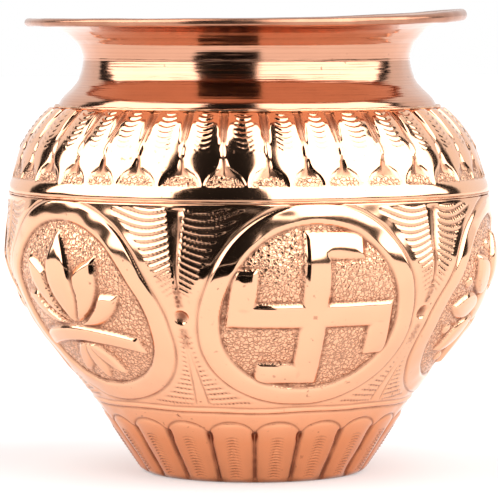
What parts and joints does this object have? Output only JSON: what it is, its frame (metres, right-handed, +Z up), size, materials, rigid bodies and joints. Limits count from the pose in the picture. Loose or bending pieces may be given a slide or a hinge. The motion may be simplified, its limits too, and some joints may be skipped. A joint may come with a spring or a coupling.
{
  "type": "kalash pot",
  "caption": "Round copper kalash pot with a flared neck, a petalled shoulder, embossed medallions on the belly and a fluted base.",
  "frame": {"origin": "centre of the flat bottom, on the surface that the pot stands on", "axes": "+Z up along the pot's axis, -Y towards the front medallion, +X to the right seen from the front"},
  "size_m": [0.1268, 0.1268, 0.118],
  "materials": {
    "copper": "polished copper, with a hand-worked surface",
    "braze": "polished brazing alloy"
  },
  "bodies": {
    "root": {"lower_bowl": "copper", "shoulder": "copper", "neck_and_lip": "copper", "shoulder_seam_braze": "braze", "neck_seam_braze": "braze"}
  },
  "joints": []
}
